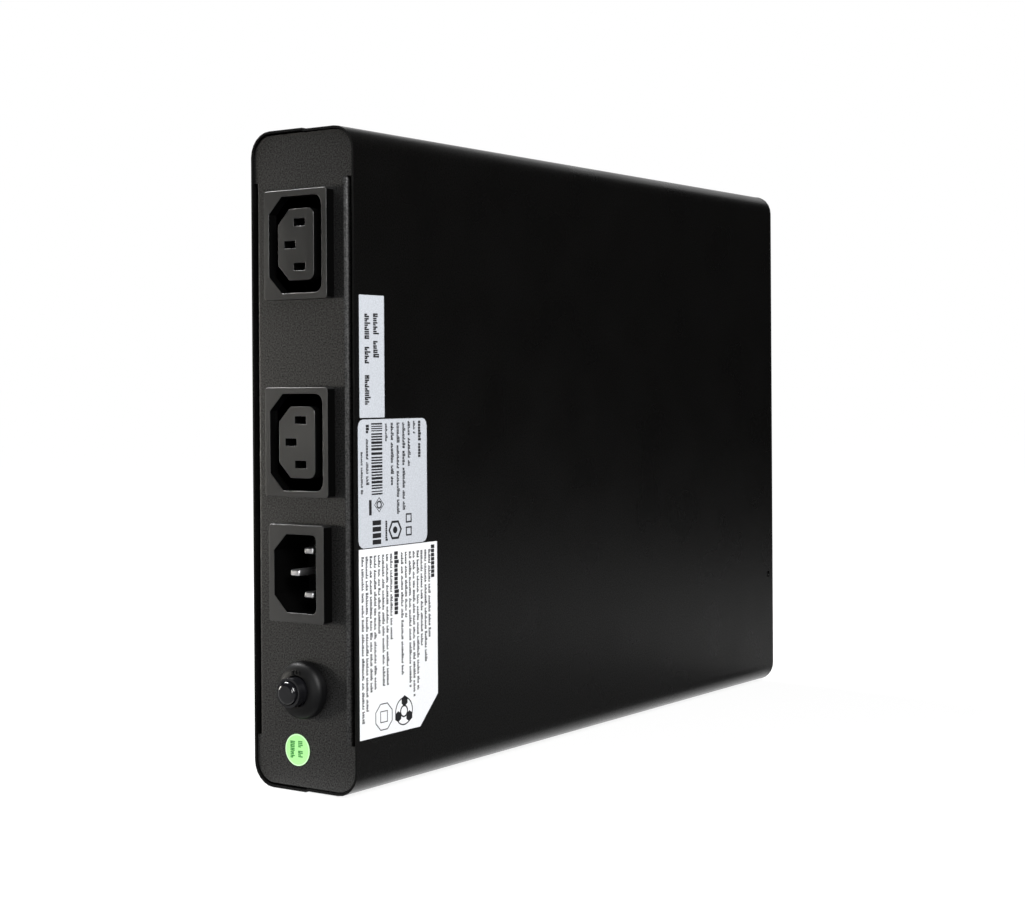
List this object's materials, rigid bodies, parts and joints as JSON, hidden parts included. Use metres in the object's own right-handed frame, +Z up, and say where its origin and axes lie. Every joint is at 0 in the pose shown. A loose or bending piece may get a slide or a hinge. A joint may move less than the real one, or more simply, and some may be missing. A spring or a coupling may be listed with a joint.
{
  "type": "slim uninterruptible power supply",
  "caption": "Slim black steel power backup box standing on its edge, with two mains outlets, a mains inlet and a push-to-reset breaker on the rear.",
  "frame": {"origin": "centre of the narrow face the unit stands on, midway between the two big sides and 140 mm in front of the covers' rear edge", "axes": "+Z up, +Y out of the rear face with the sockets, -Y out of the front with the power button, -X out of the labelled side"},
  "size_m": [0.0432, 0.2912, 0.2104],
  "materials": {
    "paint": "satin black powder coat with a fine texture",
    "moulding": "satin black moulding",
    "glossy_moulding": "glossy black moulding",
    "steel": "zinc plated",
    "brass": "stamped brass",
    "silver": "bright plated pins",
    "aluminium": "extruded, plain",
    "copper": "enamelled copper wire",
    "ferrite": "sintered ferrite, dark grey",
    "tape": "yellow winding tape",
    "board": "green solder mask",
    "sleeve": "dark sleeve",
    "relay": "dark blue case",
    "ceramic": "white ceramic tube",
    "holder": "matt black holder",
    "cell": "blue heat-shrink wrap",
    "lens": "frosted clear light pipe",
    "silver_label": "silver polyester label",
    "white_label": "white label",
    "green_label": "pale green sticker",
    "brown_wire": "brown insulation",
    "blue_wire": "blue insulation",
    "green_wire": "green insulation",
    "red_wire": "red insulation",
    "black_wire": "black insulation"
  },
  "bodies": {
    "case": {"battery_bracket": "steel", "board_fuse": "ceramic", "breaker_body": "moulding", "breaker_nut": "moulding", "breaker_terminal_line": "brass", "breaker_terminal_load": "brass", "bus_capacitor_1": "sleeve", "bus_capacitor_2": "sleeve", "cell_1": "cell", "cell_2": "cell", "cell_3": "cell", "cell_4": "cell", "cell_holder_lower": "holder", "cell_holder_middle": "holder", "cell_holder_upper": "holder", "cover_screw_1": "steel", "cover_screw_2": "steel", "cover_screw_3": "steel", "cover_screw_4": "steel", "filter_choke": "copper", "front_bezel": "moulding", "front_board": "board", "heatsink": "aluminium", "inlet": "moulding", "inlet_pin_earth": "silver", "inlet_pin_line": "silver", "inlet_pin_neutral": "silver", "inspection_sticker": "green_label", "label_battery": "silver_label", "label_caution": "white_label", "label_rating": "silver_label", "lead_battery_negative": "black_wire", "lead_battery_positive": "red_wire", "lead_earth": "green_wire", "lead_line": "brown_wire", "lead_neutral": "blue_wire", "left_cover": "paint", "light_pipe": "lens", "main_board": "board", "outlet_lower": "moulding", "outlet_lower_contact_earth": "brass", "outlet_lower_contact_line": "brass", "outlet_lower_contact_neutral": "brass", "outlet_upper": "moulding", "outlet_upper_contact_earth": "brass", "outlet_upper_contact_line": "brass", "outlet_upper_contact_neutral": "brass", "power_switch": "moulding", "power_transistor_1": "moulding", "power_transistor_2": "moulding", "power_transistor_3": "moulding", "power_transistor_4": "moulding", "protection_board": "board", "rear_panel": "paint", "right_cover": "paint", "transfer_relay": "relay", "transformer_core": "ferrite", "transformer_winding": "tape"},
    "power_button": {"power_button": "moulding"},
    "reset_button": {"reset_button": "glossy_moulding"}
  },
  "joints": [
    {"name": "power_press", "type": "slide", "parent": "case", "child": "power_button", "axis": [0, 1, 0], "range_m": [0, 0.001], "stiffness_N_per_m": 400},
    {"name": "breaker_reset", "type": "slide", "parent": "case", "child": "reset_button", "axis": [0, 1, 0], "range_m": [-0.0005, 0.0025]}
  ]
}
